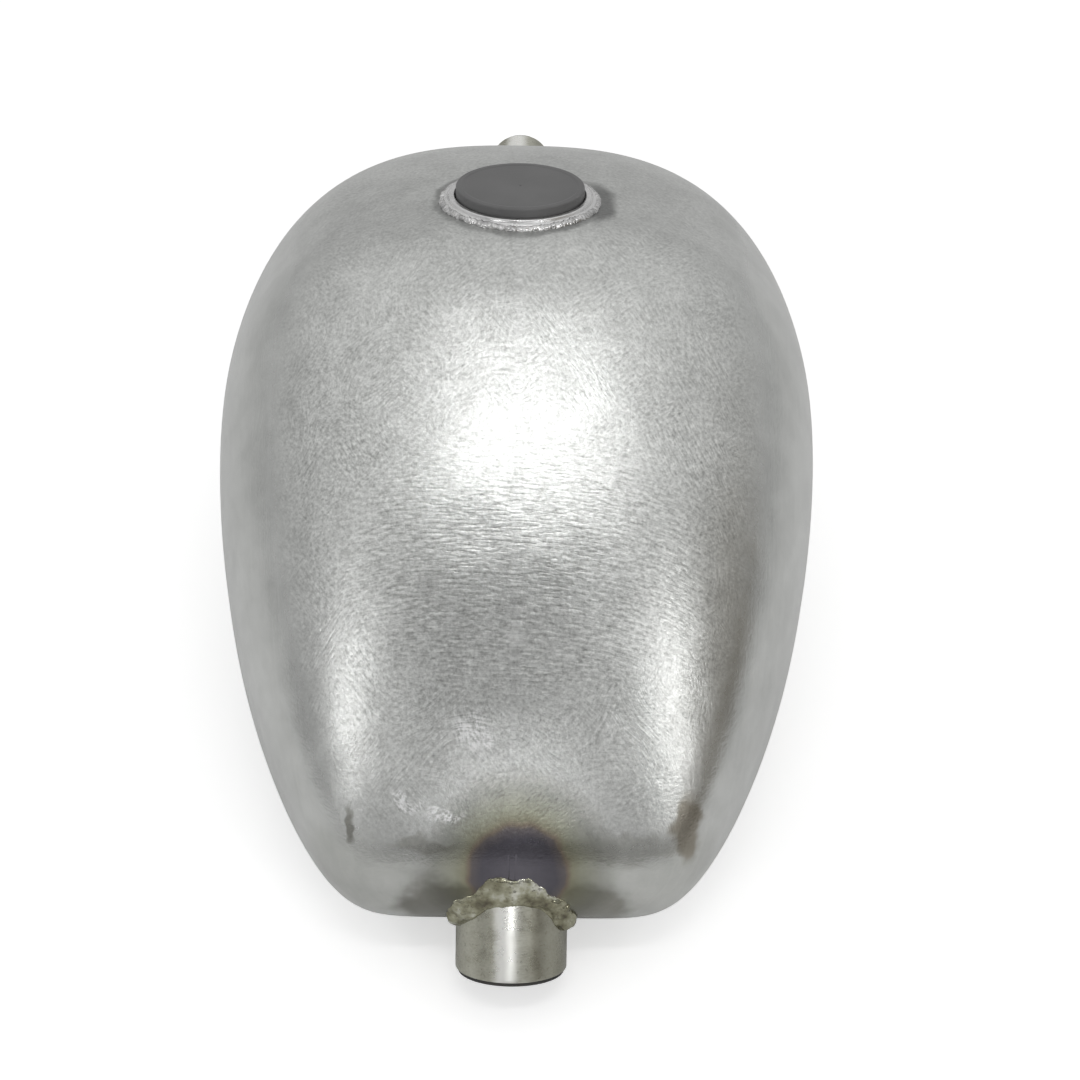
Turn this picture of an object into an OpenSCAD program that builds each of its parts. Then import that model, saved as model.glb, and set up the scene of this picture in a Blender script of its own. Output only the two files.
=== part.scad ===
// Motorcycle fuel tank in bare steel, on a backbone frame.
// +Z is up, +Y points to the front of the motorcycle and +X to its right.
// The origin is on the floor's level, in the middle plane, below the widest section.

/* [Body] */
// Widest width of the tank
body_w = 250; // [230:1:270]
// Length from the widest section back to the tail
tail_len = 196.5; // [188:0.5:204]
// Length from the widest section forward to the nose
nose_len = 167; // [156:1:180]
// Height of the widest level above the floor, at the widest section
waist_z = 75; // [70:0.5:82]
// Height of the widest level at the tail
tail_z = 36.5; // [34:0.5:42]
// Height of the widest level at the nose
nose_z = 80.5; // [74:0.5:84]
// Height of the crown above the widest level
crown_h = 127; // [120:0.5:132]
// Sheet thickness of the pressed halves
wall = 1.5; // [1.2:0.1:2]

/* [Shape] */
// How much narrower the tail is than the widest section
tail_taper = 0.33; // [0.3:0.01:0.38]
// How much lower the crown is at the tail
tail_drop = 0.705; // [0.6:0.005:0.75]
// Share of the tail's length over which the crown bends into its slope
crown_bend = 0.25; // [0.15:0.05:0.35]
// Extra height of the crest behind the neck
crest_h = 6.2; // [0:0.1:8]
// Squareness of the cross-section in the middle
mid_square = 2.65; // [2.4:0.05:3]
// Squareness of the cross-section at the tail, which has two shoulders
tail_square = 2.8; // [2.6:0.1:3.6]
// Squareness of the cross-section at the nose
nose_square = 2.7; // [2.3:0.1:3]

/* [Tunnel] */
// Clear width of the tunnel over the frame's backbone
tunnel_w = 56; // [50:1:60]
// Clear height of the tunnel at the nose
tunnel_nose_h = 50; // [44:1:54]
// Distance behind the widest section at which the tunnel's ridge runs out into the floor
tunnel_run_out = 120; // [110:1:130]

/* [Filler] */
// Outside diameter of the neck ring
neck_od = 61; // [59:0.5:66]
// Diameter of the cap
cap_d = 51.5; // [50:0.5:54]
// Position of the neck along the tank
neck_y = 24.5; // [20:0.5:30]
// Forward tilt of the neck, in degrees
neck_tilt = 14; // [12:1:16]
// Radius of the thread that the cap screws into
throat_r = 22; // [20:0.5:23]

/* [Mounts] */
// Outside diameter of the rear mount tube
rear_tube_od = 43.5; // [42:0.5:45]
// Outside diameter of the front mount tube
front_tube_od = 27; // [26:0.5:30]
// Wall thickness of the mount tubes
tube_wall = 2; // [1.5:0.1:2.5]
// Angle of the rear tube below the horizontal
rear_pitch = 52; // [48:1:56]
// Radius of the tapping bore for the rear mounting bolt, M8
bolt_bore_r = 3.4; // [3.3:0.05:3.5]
// Radius of the hole for the frame's front peg
peg_r = 6; // [5:0.5:7]
// Radius of the outlet bung's tapping bore, 1/4 inch pipe thread
outlet_r = 5.7; // [5.5:0.1:6]

/* [Hidden] */
$fn = 96;

// Steps of the skin grid: along the tank, over the crown and down to the floor
along_steps = 44;
crown_steps = 14;
flank_steps = 6;
// The lower flank stops at this angle of its curve, where the floor is welded on
flank_end = 52;
flank_square = 3;
// The floor's outline shrinks less in length than in width
length_shrink = 0.6;
// The crest's place along the tank, and the length over which it fades
crest_y = -21;
crest_len = 32;
seam_w = 2;

// Neck, cap and throat, measured along the neck's axis from its seat
neck_wall_out = 3;
neck_sink = 0.8;
neck_depth = 16;
neck_lip = 2.5;
cap_clear = 0.6;
cap_head_h = 5.5;
cap_chamfer = 1;
cap_stem_h = 9;
thread_clear = 0.05;
seal_h = 2;
seal_squash = 0.05;
seal_inner_clear = 0.5;

// Mount tubes: how far they stand out, and where their axes meet the skin
rear_tube_len = 19.3;
rear_joint = [0, 7.4 - tail_len, 12.2];
front_tube_len = 27;
front_joint = [0, nose_len - 6.5, 109];
rear_root = 20;
front_root = 26;
bush_len = 12;
bush_flange_h = 1.6;
insert_r = 8;
insert_depth = 10;

bead_r = 1.8;
collar_r = 3.2;
// A collar's reach along its tube's axis, from inside the joint to outside it
rear_collar = [21, 14];
front_collar = [18, 16];
// Root gap that a weld fills between two sheets
weld_gap = 0.4;
// Lengths that reach clear through whatever is cut
through = 60;
over = 1;

outlet_pos = [-62, -50, 0];
bung_r = 11;
bung_h = 14;
bung_drop = 4;
outlet_leg = 2.5;

steel = [0.66, 0.66, 0.65];
weld_steel = [0.55, 0.54, 0.48];
black_cap = [0.16, 0.16, 0.17];
rubber = [0.08, 0.08, 0.08];

// ---- Skin surface ----
// t runs from -1 at the tail, through 0 at the widest section, to 1 at the nose.
// d is the distance that a surface lies inside the outer skin.

function round_end(t, p, q) = pow(max(0, 1 - pow(t, p)), 1 / q);

function half_w(t, d) = (body_w / 2 - d) * (t > 0
    ? round_end(t, 2.06, 2.66)
    : (1 - tail_taper * pow(-t, 1.95)) * round_end(-t, 2.5, 9));
// 0 at the widest section and 1 at the tail: a bend first, then an even slope.
function slope(s) = let (start = pow(crown_bend, 1.1))
    (pow(s * s + crown_bend * crown_bend, 0.55) - start)
    / (pow(1 + crown_bend * crown_bend, 0.55) - start);
function crest(t) = crest_h * exp(-pow((along(t, 0) - crest_y) / crest_len, 2));
function crown(t, d) = (crown_h + crest(t) - d) * (t > 0
    ? round_end(t, 1.55, 2.18)
    : (1 - tail_drop * slope(-t)) * round_end(-t, 5, 3));
function waist(t) = waist_z + ((t > 0 ? nose_z : tail_z) - waist_z) * t * t;
function squareness(t) = mid_square + (t > 0
    ? (nose_square - mid_square) * t
    : (tail_square - mid_square) * pow(-t, 1.5));
function along(t, d) = t * (t > 0 ? nose_len - d : tail_len - d);

// A point at angle a: 90 at the crown's middle line, 0 at the widest level, -flank_end at the floor.
function crown_point(t, a, d) = [
    max(seam_w / 2, half_w(t, d) * pow(cos(a), 2 / squareness(t))),
    along(t, d),
    waist(t) + crown(t, d) * pow(sin(a), 2 / squareness(t))
];
function flank_point(t, a, d) =
    let (shrink = pow(cos(a), 2 / flank_square))
    let (drop = pow(sin(a) / sin(flank_end), 2 / flank_square))
    [
        max(seam_w / 2, half_w(t, d) * shrink),
        along(t, d) * (1 - (1 - shrink) * length_shrink),
        waist(t) + (d - waist(t)) * drop
    ];
function skin_point(t, a, d) = a >= 0 ? crown_point(t, a, d) : flank_point(t, -a, d);

// Grid stations: rings crowd together towards the blunt ends.
function station(i) = sin(-90 + 180 * i / along_steps);
function ring_angle(j) = j < flank_steps
    ? -flank_end * (flank_steps - j) / flank_steps
    : 90 * (j - flank_steps) / crown_steps;

ring_steps = flank_steps + crown_steps;
stations = [for (i = [0 : along_steps]) station(i)];
angles = [for (j = [0 : ring_steps]) ring_angle(j)];
layer = (along_steps + 1) * (ring_steps + 1);

// At a tip the whole crown of a ring is one point, so its corners share one index.
function corner(i, j, inner) = inner * layer + i * (ring_steps + 1)
    + (i == 0 || i == along_steps ? min(j, flank_steps) : j);
function quad(a, b, c, d) = [for (f = [[a, b, c], [a, c, d]])
    if (f[0] != f[1] && f[1] != f[2] && f[2] != f[0]) f];
function skin_grid(d) = [for (t = stations) for (a = angles) skin_point(t, a, d)];

// One pressed half on the +X side: outer skin, inner skin and the rims between them.
module half_skin() {
    faces = [
        for (i = [0 : along_steps - 1]) for (j = [0 : ring_steps - 1]) each concat(
            quad(corner(i, j, 0), corner(i, j + 1, 0), corner(i + 1, j + 1, 0), corner(i + 1, j, 0)),
            quad(corner(i, j, 1), corner(i + 1, j, 1), corner(i + 1, j + 1, 1), corner(i, j + 1, 1))),
        for (i = [0 : along_steps - 1]) each concat(
            quad(corner(i, 0, 0), corner(i + 1, 0, 0), corner(i + 1, 0, 1), corner(i, 0, 1)),
            quad(corner(i + 1, ring_steps, 0), corner(i, ring_steps, 0),
                corner(i, ring_steps, 1), corner(i + 1, ring_steps, 1))),
        for (j = [0 : flank_steps - 1]) each concat(
            quad(corner(0, j + 1, 0), corner(0, j, 0), corner(0, j, 1), corner(0, j + 1, 1)),
            quad(corner(along_steps, j, 0), corner(along_steps, j + 1, 0),
                corner(along_steps, j + 1, 1), corner(along_steps, j, 1)))
    ];
    polyhedron(concat(skin_grid(0), skin_grid(wall)), faces, convexity = 4);
}

// Outline of the skin in the middle plane, as [y, z].
function middle_outline(d) = [
    for (i = [0 : along_steps]) let (p = skin_point(stations[i], 90, d)) [p[1], p[2]],
    for (j = [flank_steps - 1 : -1 : 0]) let (p = skin_point(1, angles[j], d)) [p[1], p[2]],
    for (j = [0 : flank_steps - 1]) let (p = skin_point(-1, angles[j], d)) [p[1], p[2]]
];

// Solid that fills the tank's outside down to the floor, for trimming what meets the skin.
module body_block(d) {
    rings = [for (t = stations) concat(
        [for (j = [0 : ring_steps]) skin_point(t, angles[j], d)],
        [for (j = [ring_steps : -1 : 0]) let (p = skin_point(t, angles[j], d)) [-p[0], p[1], p[2]]])];
    n = 2 * (ring_steps + 1);
    function at(i, k) = i * n + (i == 0 || i == along_steps ? merged(k) : k);
    function merged(k) = k <= ring_steps ? min(k, flank_steps) : max(k, n - 1 - flank_steps);
    faces = [
        for (i = [0 : along_steps - 1]) for (k = [0 : n - 1])
            each quad(at(i, k), at(i, (k + 1) % n), at(i + 1, (k + 1) % n), at(i + 1, k)),
        for (k = [0 : flank_steps - 1]) each concat(
            quad(at(0, k), at(0, n - 1 - k), at(0, n - 2 - k), at(0, k + 1)),
            quad(at(along_steps, k + 1), at(along_steps, n - 2 - k),
                at(along_steps, n - 1 - k), at(along_steps, k)))
    ];
    polyhedron([for (r = rings) each r], faces, convexity = 4);
}

// ---- Placement ----

neck_seat = [0, neck_y, skin_point(neck_y / nose_len, 90, 0)[2] - neck_sink];

module on_neck() {
    translate(neck_seat) rotate([-neck_tilt, 0, 0]) children();
}

module on_rear_tube() {
    translate(rear_joint) rotate([90 + rear_pitch, 0, 0]) children();
}

module on_front_tube() {
    translate(front_joint) rotate([-90, 0, 0]) children();
}

// ---- Tunnel ----

tunnel_r = 12;
tunnel_len = 420;
tunnel_depth = 80;
tunnel_climb = atan2(tunnel_nose_h, nose_len + tunnel_run_out);
tunnel_seam_top = 42;
// Box round the nose that holds the tunnel's mouth
mouth_zone = [200, 120, 200];

// The tunnel's section, seen from behind: an arch with rounded top corners.
module arch(grow) {
    w = tunnel_w / 2 + grow;
    r = tunnel_r + grow;
    translate([-w, -tunnel_depth]) square([2 * w, tunnel_depth - tunnel_r]);
    translate([r - w, -tunnel_depth]) square([2 * (w - r), tunnel_depth + grow]);
    for (side = [-1, 1]) translate([side * (w - r), -tunnel_r]) circle(r);
}

// The arch carried along the tank under its ridge, which climbs from the floor to the nose.
module tunnel_space(grow) {
    translate([0, -tunnel_run_out, 0]) rotate([90 + tunnel_climb, 0, 0])
        translate([0, 0, -tunnel_len]) linear_extrude(2 * tunnel_len) arch(grow);
}

module tunnel() {
    color(steel) intersection() {
        difference() {
            tunnel_space(wall);
            tunnel_space(0);
        }
        body_block(0);
    }
}

// ---- Pressed halves and floor ----

module filler_hole() {
    on_neck() cylinder(r = neck_od / 2 - neck_lip, h = through, center = true);
}

module shell_right() {
    color(steel) difference() {
        half_skin();
        filler_hole();
        tunnel_space(wall);
    }
}

module shell_left() {
    color(steel) difference() {
        mirror([1, 0, 0]) half_skin();
        filler_hole();
        tunnel_space(wall);
    }
}

// The ground-flush butt weld that joins the halves in the middle plane.
module centre_seam() {
    below = [for (t = [1, -1]) [skin_point(t, -flank_end, wall)[1], -wall]];
    color(weld_steel) difference() {
        rotate([90, 0, 90]) linear_extrude(seam_w, center = true) difference() {
            polygon(middle_outline(0));
            polygon(middle_outline(wall));
            polygon(concat([middle_outline(wall)[along_steps + flank_steps]], below,
                [middle_outline(wall)[along_steps + flank_steps + 1]]));
        }
        filler_hole();
        tunnel_space(wall);
    }
}

// The flat floor, which fits inside the flank's foot and is cut out for the tunnel and the bung.
module floor_plate() {
    side = [for (t = stations) let (p = flank_point(t, flank_end, wall)) [p[0], p[1]]];
    other_side = [for (k = [len(side) - 1 : -1 : 0]) [-side[k][0], side[k][1]]];
    slot = [for (p = tunnel_foot()) [p[0], p[1]]];
    past_nose = [[tunnel_w / 2 + wall, nose_len], [-tunnel_w / 2 - wall, nose_len]];
    color(steel) difference() {
        linear_extrude(wall) polygon(concat(side, other_side));
        translate([0, 0, -wall]) linear_extrude(3 * wall)
            offset(delta = weld_gap) polygon(concat(slot, past_nose));
        translate(outlet_pos) cylinder(r = bung_r, h = through, center = true);
    }
}

// ---- Weld beads ----

// A bead of round section, with the given radius, along a path of points.
module bead(path, r, closed) {
    n = len(path);
    sides = 6;
    points = [for (i = [0 : n - 1])
        let (before = path[closed ? (i + n - 1) % n : max(i - 1, 0)])
        let (after = path[closed ? (i + 1) % n : min(i + 1, n - 1)])
        let (run = (after - before) / norm(after - before))
        let (side = cross(run, [0.1, 0.2, 1]) / norm(cross(run, [0.1, 0.2, 1])))
        let (up = cross(side, run))
        for (k = [0 : sides - 1])
            path[i] + r * (cos(360 * k / sides) * side + sin(360 * k / sides) * up)];
    last = closed ? n - 1 : n - 2;
    faces = concat(
        [for (i = [0 : last]) for (k = [0 : sides - 1])
            each quad(i * sides + k, i * sides + (k + 1) % sides,
                ((i + 1) % n) * sides + (k + 1) % sides, ((i + 1) % n) * sides + k)],
        closed ? [] : [[for (k = [sides - 1 : -1 : 0]) k], [for (k = [0 : sides - 1]) (n - 1) * sides + k]]);
    polyhedron(points, faces);
}

// The foot of the flank on one side, up to the tunnel's mouth in the nose.
function base_edge(side) = [for (t = stations)
    let (p = flank_point(t, flank_end, 0))
    if (t < 0 || p[0] > tunnel_w / 2 + wall) [side * p[0], p[1], p[2] + bead_r / 2]];

module base_seam_left() {
    color(weld_steel) bead(base_edge(-1), bead_r, false);
}

module base_seam_right() {
    color(weld_steel) bead(base_edge(1), bead_r, false);
}

// Half of the tunnel's foot on the floor, where the ridge stands h above it. The arch's round
// corners sink into the floor as the ridge runs out, so the foot narrows to a rounded tongue.
function foot(h, side) =
    let (r = tunnel_r + wall)
    let (spread = h < r ? sqrt(2 * r * h - h * h) : r)
    let (y = (h - wall) / tan(tunnel_climb) - tunnel_run_out)
    [side * (tunnel_w / 2 - tunnel_r + spread), y, 0];

// The whole foot, from the nose round the tongue and back to the nose.
function tunnel_foot() =
    let (steps = 12)
    let (heights = [for (k = [0 : steps]) tunnel_seam_top * pow(k / steps, 2)])
    concat([for (k = [steps : -1 : 0]) foot(heights[k], -1)], [for (h = heights) foot(h, 1)]);

// The fillet round the tunnel's foot, on the floor's lower face.
module tunnel_seam() {
    color(weld_steel) bead(tunnel_foot(), bead_r, false);
}

// The weld round the tunnel's mouth, where it meets the nose.
module tunnel_mouth_weld() {
    color(weld_steel) intersection() {
        difference() {
            tunnel_space(wall + bead_r);
            tunnel_space(wall);
        }
        difference() {
            body_block(-bead_r / 2);
            body_block(0);
        }
        translate([0, nose_len, 0]) cube(mouth_zone, center = true);
    }
}

// ---- Filler ----

function crown_z(x, y) =
    let (t = y > 0 ? y / nose_len : y / tail_len)
    waist(t) + crown(t, 0) * pow(1 - pow(abs(x) / half_w(t, 0), squareness(t)), 1 / squareness(t));

cap_seat = neck_wall_out - seal_h;

module filler_neck() {
    color(steel) on_neck() difference() {
        union() {
            translate([0, 0, -neck_depth]) cylinder(r = neck_od / 2 - neck_lip, h = neck_depth);
            cylinder(r = neck_od / 2, h = neck_wall_out);
        }
        translate([0, 0, -neck_depth - over]) cylinder(r = throat_r, h = through);
        translate([0, 0, cap_seat - seal_h]) cylinder(r = cap_d / 2 + cap_clear, h = through);
    }
}

module filler_neck_weld() {
    r = neck_od / 2 + bead_r / 2;
    path = [for (a = [0 : 7.5 : 352.5])
        let (x = r * cos(a))
        let (y = neck_y + r * sin(a) * cos(neck_tilt))
        [x, y, crown_z(x, y)]];
    color(weld_steel) bead(path, bead_r, true);
}

// The cap's screwed stem stands in the throat, and its head sits on the seal in the neck's recess.
module filler_cap() {
    color(black_cap) on_neck() {
        translate([0, 0, cap_seat]) cylinder(r = cap_d / 2, h = cap_head_h - cap_chamfer);
        translate([0, 0, cap_seat + cap_head_h - cap_chamfer])
            cylinder(r1 = cap_d / 2, r2 = cap_d / 2 - cap_chamfer, h = cap_chamfer);
        translate([0, 0, cap_seat - cap_stem_h])
            cylinder(r = throat_r - thread_clear, h = cap_stem_h);
    }
}

module cap_seal() {
    color(rubber) on_neck() translate([0, 0, cap_seat - seal_h + seal_squash]) difference() {
        cylinder(r = cap_d / 2 - cap_chamfer, h = seal_h - 2 * seal_squash);
        translate([0, 0, -over]) cylinder(r = throat_r + seal_inner_clear, h = seal_h + 2 * over);
    }
}

// ---- Mount tubes ----

// A tube with the given outside diameter and length.
module pipe(od, len) {
    difference() {
        cylinder(d = od, h = len);
        translate([0, 0, -over]) cylinder(d = od - 2 * tube_wall, h = len + 2 * over);
    }
}

module rear_mount_tube() {
    color(steel) difference() {
        on_rear_tube() translate([0, 0, -rear_root]) pipe(rear_tube_od, rear_tube_len + rear_root);
        body_block(0);
    }
}

module rear_bush() {
    color(rubber) on_rear_tube() difference() {
        union() {
            translate([0, 0, rear_tube_len - bush_len])
                cylinder(d = rear_tube_od - 2 * tube_wall, h = bush_len);
            translate([0, 0, rear_tube_len])
                cylinder(d = rear_tube_od - tube_wall, h = bush_flange_h);
        }
        translate([0, 0, rear_tube_len + bush_flange_h - insert_depth])
            cylinder(r = insert_r, h = insert_depth + over);
    }
}

module rear_insert() {
    color(steel) on_rear_tube() translate([0, 0, rear_tube_len + bush_flange_h - insert_depth])
        difference() {
            cylinder(r = insert_r, h = insert_depth);
            translate([0, 0, -over]) cylinder(r = bolt_bore_r, h = insert_depth + 2 * over);
        }
}

module front_mount_tube() {
    color(steel) difference() {
        on_front_tube() translate([0, 0, -front_root])
            pipe(front_tube_od, front_tube_len + front_root);
        body_block(0);
    }
}

module front_bush() {
    color(rubber) on_front_tube() difference() {
        union() {
            translate([0, 0, front_tube_len - bush_len])
                cylinder(d = front_tube_od - 2 * tube_wall, h = bush_len);
            translate([0, 0, front_tube_len])
                cylinder(d = front_tube_od - tube_wall, h = bush_flange_h);
        }
        translate([0, 0, front_tube_len - bush_len - over])
            cylinder(r = peg_r, h = bush_len + bush_flange_h + 2 * over);
    }
}

// A collar of weld round a tube's root, standing out of the skin. It runs along the tube's axis
// as far as reach says.
module tube_collar(od, reach) {
    translate([0, 0, -reach[0]]) difference() {
        cylinder(d = od + 2 * collar_r, h = reach[0] + reach[1]);
        translate([0, 0, -over]) cylinder(d = od, h = reach[0] + reach[1] + 2 * over);
    }
}

module on_skin() {
    intersection() {
        children();
        difference() {
            body_block(-collar_r);
            body_block(0);
        }
    }
}

module rear_tube_weld() {
    color(weld_steel) on_skin() on_rear_tube() tube_collar(rear_tube_od, rear_collar);
}

module front_tube_weld() {
    color(weld_steel) on_skin() on_front_tube() tube_collar(front_tube_od, front_collar);
}

// ---- Outlet ----

module outlet_bung() {
    color(steel) translate(outlet_pos) difference() {
        translate([0, 0, -bung_drop]) cylinder(r = bung_r, h = bung_h);
        translate([0, 0, -bung_drop - over]) cylinder(r = outlet_r, h = bung_h + 2 * over);
    }
}

module outlet_weld() {
    color(weld_steel) translate(outlet_pos) rotate_extrude()
        polygon([[bung_r, -outlet_leg], [bung_r + outlet_leg, 0], [bung_r, 0]]);
}

shell_left();
shell_right();
centre_seam();
floor_plate();
tunnel();
base_seam_left();
base_seam_right();
tunnel_seam();
tunnel_mouth_weld();
filler_neck();
filler_neck_weld();
filler_cap();
cap_seal();
rear_mount_tube();
rear_tube_weld();
rear_bush();
rear_insert();
front_mount_tube();
front_tube_weld();
front_bush();
outlet_bung();
outlet_weld();
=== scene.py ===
"""Bare-steel motorcycle fuel tank: the looks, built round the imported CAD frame.

Everything is in metres in the frame's own axes: +Z up, +Y to the front, +X to the right.
"""
import math

import bpy
import numpy as np
from mathutils import Matrix, Vector, noise
from mathutils.bvhtree import BVHTree


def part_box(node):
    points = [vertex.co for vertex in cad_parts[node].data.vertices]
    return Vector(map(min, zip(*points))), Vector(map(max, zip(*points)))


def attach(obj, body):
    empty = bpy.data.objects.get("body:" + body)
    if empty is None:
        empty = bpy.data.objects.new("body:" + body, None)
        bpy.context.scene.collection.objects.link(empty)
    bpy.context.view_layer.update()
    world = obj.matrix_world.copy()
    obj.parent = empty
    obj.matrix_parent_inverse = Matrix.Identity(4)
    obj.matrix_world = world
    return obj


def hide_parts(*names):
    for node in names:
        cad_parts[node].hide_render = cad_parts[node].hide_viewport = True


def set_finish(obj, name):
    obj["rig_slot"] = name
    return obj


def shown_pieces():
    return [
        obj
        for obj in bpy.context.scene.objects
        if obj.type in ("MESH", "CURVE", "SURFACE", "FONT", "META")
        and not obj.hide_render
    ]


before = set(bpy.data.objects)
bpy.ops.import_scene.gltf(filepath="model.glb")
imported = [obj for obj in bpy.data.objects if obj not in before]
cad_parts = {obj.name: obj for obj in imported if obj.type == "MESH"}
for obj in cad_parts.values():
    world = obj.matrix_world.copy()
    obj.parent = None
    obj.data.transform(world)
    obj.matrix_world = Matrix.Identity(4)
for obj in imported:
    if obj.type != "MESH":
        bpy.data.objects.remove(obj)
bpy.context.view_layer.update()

MM = 0.001
SEED = 7

# ---- Sizes of the skin, as in the CAD ----

skin_low, skin_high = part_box("shell_right")
BODY_W = 2 * skin_high.x
TAIL_LEN = -skin_low.y
NOSE_LEN = skin_high.y
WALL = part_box("floor_plate")[1].z
SEAM_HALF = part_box("centre_seam")[1].x

WAIST_Z = 75 * MM
TAIL_Z = 36.5 * MM
NOSE_Z = 80.5 * MM
CROWN_H = 127 * MM
TAIL_TAPER = 0.33
TAIL_DROP = 0.705
CROWN_BEND = 0.25
CREST_H = 6.2 * MM
CREST_Y = -21 * MM
CREST_LEN = 32 * MM
MID_SQUARE = 2.65
TAIL_SQUARE = 2.8
NOSE_SQUARE = 2.7
FLANK_END = math.radians(52)
FLANK_SQUARE = 3
LENGTH_SHRINK = 0.6

# ---- Neck, tubes, tunnel and outlet, as in the CAD ----

NECK_Y = 24.5 * MM
NECK_TILT = math.radians(14)
NECK_SINK = 0.8 * MM
NECK_R = 30.5 * MM
NECK_HOLE_R = 28 * MM
THROAT_R = 22 * MM
CAP_R = 25.75 * MM
CAP_CLEAR = 0.6 * MM
CAP_SEAT = 1 * MM
CAP_HEAD_H = 5.5 * MM
CAP_PITCH = 3 * MM

TUBE_WALL = 2 * MM
REAR_R = 21.75 * MM
REAR_PITCH = math.radians(52)
REAR_JOINT = np.array([0, 7.4 * MM - TAIL_LEN, 12.2 * MM])
REAR_LEN = 19.3 * MM
FRONT_R = 13.5 * MM
FRONT_JOINT = np.array([0, NOSE_LEN - 6.5 * MM, 109 * MM])
FRONT_LEN = 27 * MM
BUSH_LEN = 12 * MM
FLANGE_H = 1.6 * MM
INSERT_R = 8 * MM
INSERT_DEPTH = 10 * MM
BOLT_R = 3.4 * MM
PEG_R = 6 * MM

TUNNEL_HALF_W = 28 * MM
TUNNEL_CORNER = 12 * MM
TUNNEL_RUN_OUT = 120 * MM
TUNNEL_CLIMB = math.atan2(50 * MM, NOSE_LEN + TUNNEL_RUN_OUT)

BUNG = np.array([-62 * MM, -50 * MM, 0])
BUNG_R = 11 * MM
BUNG_TOP = 10 * MM
BUNG_DROP = 4 * MM
OUTLET_R = 5.7 * MM


# ---- The skin surface ----
# t runs from -1 at the tail, through 0 at the widest section, to 1 at the nose.
# a is the angle round a section: 90 degrees on the crown, 0 at the widest level, below 0 on the flank.

def round_end(t, p, q):
    return np.maximum(0, 1 - np.abs(t) ** p) ** (1 / q)


def half_width(t):
    tail = (1 - TAIL_TAPER * np.abs(t) ** 1.95) * round_end(t, 2.5, 9)
    return BODY_W / 2 * np.where(t > 0, round_end(t, 2.06, 2.66), tail)


def crown_slope(s):
    start = CROWN_BEND ** 1.1
    return ((s * s + CROWN_BEND ** 2) ** 0.55 - start) / ((1 + CROWN_BEND ** 2) ** 0.55 - start)


def crown_height(t):
    tail = (1 - TAIL_DROP * crown_slope(np.abs(t))) * round_end(t, 5, 3)
    crest = CREST_H * np.exp(-((along(t) - CREST_Y) / CREST_LEN) ** 2)
    return (CROWN_H + crest) * np.where(t > 0, round_end(t, 1.55, 2.18), tail)


def waist(t):
    return WAIST_Z + (np.where(t > 0, NOSE_Z, TAIL_Z) - WAIST_Z) * t * t


def squareness(t):
    tail = (TAIL_SQUARE - MID_SQUARE) * np.abs(t) ** 1.5
    return MID_SQUARE + np.where(t > 0, (NOSE_SQUARE - MID_SQUARE) * t, tail)


def along(t):
    return t * np.where(t > 0, NOSE_LEN, TAIL_LEN)


def skin_points(t, a):
    """Points of the +X half, one row per station t and one column per angle a."""
    t = np.asarray(t, float)[:, None]
    a = np.asarray(a, float)[None, :]
    up = np.maximum(a, 0)
    down = np.maximum(-a, 0)
    power = 2 / squareness(t)
    shrink = np.cos(down) ** (2 / FLANK_SQUARE)
    drop = (np.sin(down) / math.sin(FLANK_END)) ** (2 / FLANK_SQUARE)
    x = half_width(t) * np.where(a > 0, np.maximum(np.cos(up), 0) ** power, shrink)
    y = along(t) * (1 - (1 - shrink) * LENGTH_SHRINK)
    z = waist(t) * (1 - drop) + crown_height(t) * np.sin(up) ** power
    return np.stack([np.maximum(x, SEAM_HALF), y, z], 2)


def crown_z(y):
    """Height of the crown on the middle plane."""
    t = np.array(y / (NOSE_LEN if y > 0 else TAIL_LEN))
    return float(waist(t) + crown_height(t))


def eased(count, power):
    """Values from 0 to 1, crowded at both ends."""
    s = np.linspace(0, 1, count)
    return s ** power / (s ** power + (1 - s) ** power)


def stations():
    """Sine stations, with more of them on the tail's flat wall."""
    even = np.sin(np.linspace(-math.pi / 2, math.pi / 2, 261))
    wall = -(1 - np.linspace(0.05, 0.86, 28) ** 9) ** (1 / 2.5)
    t = np.sort(np.concatenate([even, wall]))
    return t[np.concatenate([[True], np.diff(t) > 1e-7])]


STATIONS = stations()
FLANK_COUNT = 22
RING = np.concatenate([-FLANK_END * np.linspace(1, 0, FLANK_COUNT) ** 1.5,
                       math.pi / 2 * eased(66, 1.5)[1:]])


def grid_faces(rows, columns):
    i, k = np.meshgrid(np.arange(rows - 1), np.arange(columns - 1), indexing="ij")
    corner = (i * columns + k).ravel()
    return np.stack([corner, corner + 1, corner + columns + 1, corner + columns], 1)


def face_areas(points, faces):
    """Area vectors of quads, from their diagonals."""
    a, b, c, d = (points[faces[:, k]] for k in range(4))
    return np.cross(c - a, d - b) / 2


def unit(v):
    return v / np.maximum(np.linalg.norm(v, axis=-1, keepdims=True), 1e-12)


def point_normals(points, faces):
    areas = face_areas(points, faces)
    normals = np.zeros_like(points)
    for corner in range(4):
        np.add.at(normals, faces[:, corner], areas)
    return unit(normals)


# ---- Meshes ----

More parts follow.
